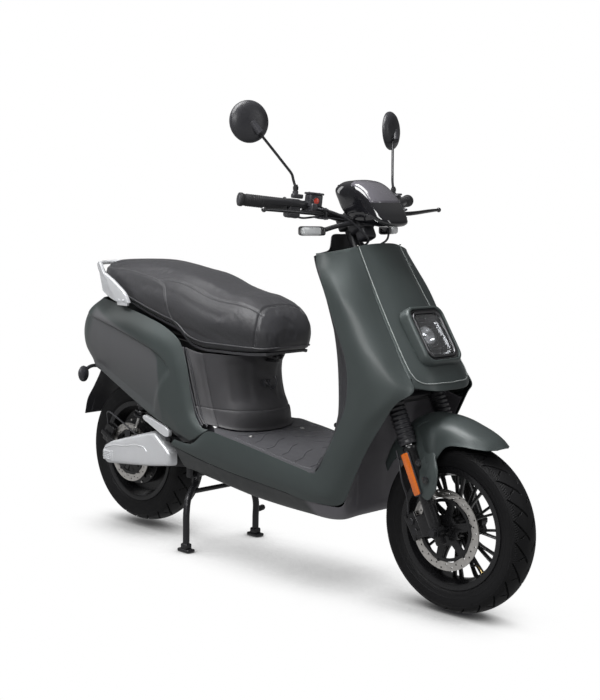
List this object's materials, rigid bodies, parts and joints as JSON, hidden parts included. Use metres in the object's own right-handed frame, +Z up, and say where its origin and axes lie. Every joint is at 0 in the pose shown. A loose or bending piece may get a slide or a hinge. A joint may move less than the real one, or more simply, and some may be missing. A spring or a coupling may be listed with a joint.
{
  "type": "moped scooter",
  "caption": "Step-through electric moped scooter with body panels, hub-motor rear wheel, sprung front fork, hinged seat, centre stand, disc brakes and mirrors.",
  "frame": {"origin": "on the ground, at the middle of the scooter's length and width", "axes": "+X forward, +Y to the rider's left, +Z up"},
  "size_m": [1.767, 0.75, 1.3596],
  "materials": {
    "green_grey_paint": "satin metallic",
    "black_plastic": "fine moulded grain",
    "gloss_black": "polished",
    "seat_vinyl": "fine grained vinyl",
    "tyre_rubber": "moulded rubber",
    "grip_rubber": "ribbed rubber",
    "black_steel": "powder coated",
    "bright_steel": "brushed",
    "silver_alloy": "satin",
    "black_alloy": "semi gloss",
    "clear_lens": "clear",
    "red_lens": "clear red",
    "chrome": "polished",
    "mirror_glass": "silvered",
    "orange_lens": "prismatic reflector"
  },
  "bodies": {
    "chassis": {"frame": "black_steel", "front_panel": "green_grey_paint", "side_panel_right": "green_grey_paint", "side_panel_left": "green_grey_paint", "inner_legshield": "black_plastic", "underbody_guard": "black_plastic", "floorboard": "black_plastic", "underseat_cover": "black_plastic", "rear_cover_right": "green_grey_paint", "rear_cover_left": "green_grey_paint", "rear_mudguard": "black_plastic", "tail_lamp": "red_lens", "grab_rail": "silver_alloy", "headlight_housing": "gloss_black", "headlight_lens": "clear_lens", "battery_pack": "black_plastic", "motor_controller": "silver_alloy"},
    "steering": {"fork_upper": "black_steel", "handlebar": "black_steel", "display_cowl": "gloss_black", "grip_left": "grip_rubber", "front_signal_bar": "clear_lens", "switch_housing_right": "black_plastic", "switch_housing_left": "black_plastic", "master_cylinder_right": "black_alloy", "master_cylinder_left": "black_alloy"},
    "throttle": {"throttle_grip": "grip_rubber"},
    "brake_lever_r": {"brake_lever_right": "black_alloy"},
    "brake_lever_l": {"brake_lever_left": "black_alloy"},
    "mirror_stem_r": {"mirror_stem_right": "black_steel"},
    "mirror_stem_l": {"mirror_stem_left": "black_steel"},
    "mirror_r": {"mirror_head_right": "gloss_black"},
    "mirror_l": {"mirror_head_left": "gloss_black"},
    "start_switch": {"start_button": "red_lens"},
    "horn_switch": {"horn_button": "black_plastic"},
    "fork_lower": {"fork_slider_right": "black_alloy", "fork_slider_left": "black_alloy", "front_fender": "green_grey_paint", "front_axle": "bright_steel", "front_caliper": "black_alloy"},
    "front_wheel": {"front_tyre": "tyre_rubber", "front_rim": "black_alloy", "front_disc": "bright_steel"},
    "swing": {"swingarm": "black_steel", "swingarm_cover": "silver_alloy", "rear_axle": "bright_steel", "rear_caliper": "black_alloy"},
    "rear_wheel": {"rear_tyre": "tyre_rubber", "hub_motor": "black_alloy", "rear_disc": "bright_steel"},
    "seat": {"seat_cushion": "seat_vinyl", "seat_base": "black_plastic"},
    "hook": {"luggage_hook": "black_plastic"},
    "stand": {"centre_stand": "black_steel"},
    "peg_r": {"passenger_peg_right": "silver_alloy"},
    "peg_l": {"passenger_peg_left": "silver_alloy"},
    "shock_body_r": {"shock_body_right": "black_steel"},
    "shock_body_l": {"shock_body_left": "black_steel"},
    "shock_rod_r": {"shock_rod_right": "bright_steel"},
    "shock_rod_l": {"shock_rod_left": "bright_steel"}
  },
  "joints": [
    {"name": "steering_turn", "type": "hinge", "parent": "chassis", "child": "steering", "pos_m": [0.611, 0, 0.2335], "axis": [-0.4384, 0, 0.8988], "range_deg": [-38, 38]},
    {"name": "throttle_twist", "type": "hinge", "parent": "steering", "child": "throttle", "pos_m": [0.17348, -0.294, 1.08875], "axis": [-0.3965, -0.9133, 0.0936], "range_deg": [0, 70], "stiffness_Nm_per_rad": 0.3, "springref_deg": -11.46},
    {"name": "lever_r_pull", "type": "hinge", "parent": "steering", "child": "brake_lever_r", "pos_m": [0.287, -0.165, 1.059], "axis": [0, 0, -1], "range_deg": [0, 14], "stiffness_Nm_per_rad": 0.5, "springref_deg": -22.92},
    {"name": "lever_l_pull", "type": "hinge", "parent": "steering", "child": "brake_lever_l", "pos_m": [0.287, 0.165, 1.059], "axis": [0, 0, 1], "range_deg": [0, 14], "stiffness_Nm_per_rad": 0.5, "springref_deg": -22.92},
    {"name": "mirror_r_swivel", "type": "hinge", "parent": "steering", "child": "mirror_stem_r", "pos_m": [0.21398, -0.20574, 1.12161], "axis": [0, 0, 1], "range_deg": [-30, 30]},
    {"name": "mirror_l_swivel", "type": "hinge", "parent": "steering", "child": "mirror_stem_l", "pos_m": [0.21398, 0.20574, 1.12161], "axis": [0, 0, 1], "range_deg": [-30, 30]},
    {"name": "mirror_r_tilt", "type": "hinge", "parent": "mirror_stem_r", "child": "mirror_r", "pos_m": [0.142, -0.282, 1.278], "axis": [0, 0, 1], "range_deg": [-9, 9]},
    {"name": "mirror_l_tilt", "type": "hinge", "parent": "mirror_stem_l", "child": "mirror_l", "pos_m": [0.142, 0.282, 1.278], "axis": [0, 0, 1], "range_deg": [-9, 9]},
    {"name": "start_press", "type": "slide", "parent": "steering", "child": "start_switch", "axis": [0.9173, -0.3982, 0], "range_m": [0, 0.002], "stiffness_N_per_m": 200, "springref_m": -0.004},
    {"name": "horn_press", "type": "slide", "parent": "steering", "child": "horn_switch", "axis": [0.9173, 0.3982, 0], "range_m": [0, 0.002], "stiffness_N_per_m": 200, "springref_m": -0.004},
    {"name": "fork_compress", "type": "slide", "parent": "steering", "child": "fork_lower", "axis": [-0.4384, 0, 0.8988], "range_m": [0, 0.05], "stiffness_N_per_m": 9000, "springref_m": -0.075},
    {"name": "front_wheel_spin", "type": "hinge", "parent": "fork_lower", "child": "front_wheel", "pos_m": [0.65, 0, 0.2335], "axis": [0, 1, 0], "continuous": true},
    {"name": "swing_bump", "type": "hinge", "parent": "chassis", "child": "swing", "pos_m": [-0.33, 0, 0.27], "axis": [0, 1, 0], "range_deg": [0, 5], "stiffness_Nm_per_rad": 900, "springref_deg": -17.19},
    {"name": "rear_wheel_spin", "type": "hinge", "parent": "swing", "child": "rear_wheel", "pos_m": [-0.647, 0, 0.2515], "axis": [0, 1, 0], "continuous": true},
    {"name": "seat_open", "type": "hinge", "parent": "chassis", "child": "seat", "pos_m": [-0.045, 0, 0.624], "axis": [0, 1, 0], "range_deg": [0, 65]},
    {"name": "hook_fold", "type": "hinge", "parent": "chassis", "child": "hook", "pos_m": [-0.0905, 0, 0.538], "axis": [0, 1, 0], "range_deg": [0, 55]},
    {"name": "stand_fold", "type": "hinge", "parent": "chassis", "child": "stand", "pos_m": [-0.336, 0, 0.228], "axis": [0, 1, 0], "range_deg": [0, 75], "stiffness_Nm_per_rad": 20, "springref_deg": -28.65},
    {"name": "peg_r_fold", "type": "hinge", "parent": "chassis", "child": "peg_r", "pos_m": [-0.338, -0.178, 0.366], "axis": [0, 0, 1], "range_deg": [0, 90]},
    {"name": "peg_l_fold", "type": "hinge", "parent": "chassis", "child": "peg_l", "pos_m": [-0.338, 0.178, 0.366], "axis": [0, 0, 1], "range_deg": [-90, 0]},
    {"name": "shock_r_swing", "type": "hinge", "parent": "chassis", "child": "shock_body_r", "pos_m": [-0.5, -0.1, 0.552], "axis": [0, 1, 0], "range_deg": [0, 1.2]},
    {"name": "shock_r_stroke", "type": "slide", "parent": "shock_body_r", "child": "shock_rod_r", "axis": [0.4031, 0, 0.9151], "range_m": [0, 0.02602]},
    {"name": "shock_l_swing", "type": "hinge", "parent": "chassis", "child": "shock_body_l", "pos_m": [-0.5, 0.1, 0.552], "axis": [0, 1, 0], "range_deg": [0, 1.2]},
    {"name": "shock_l_stroke", "type": "slide", "parent": "shock_body_l", "child": "shock_rod_l", "axis": [0.4031, 0, 0.9151], "range_m": [0, 0.02602]}
  ],
  "couplings": [
    {"joint": "shock_r_swing", "follows": "swing_bump", "ratio": 0.20813},
    {"joint": "shock_r_stroke", "follows": "swing_bump", "m_per_rad": 0.27105},
    {"joint": "shock_l_swing", "follows": "swing_bump", "ratio": 0.20813},
    {"joint": "shock_l_stroke", "follows": "swing_bump", "m_per_rad": 0.27105}
  ]
}
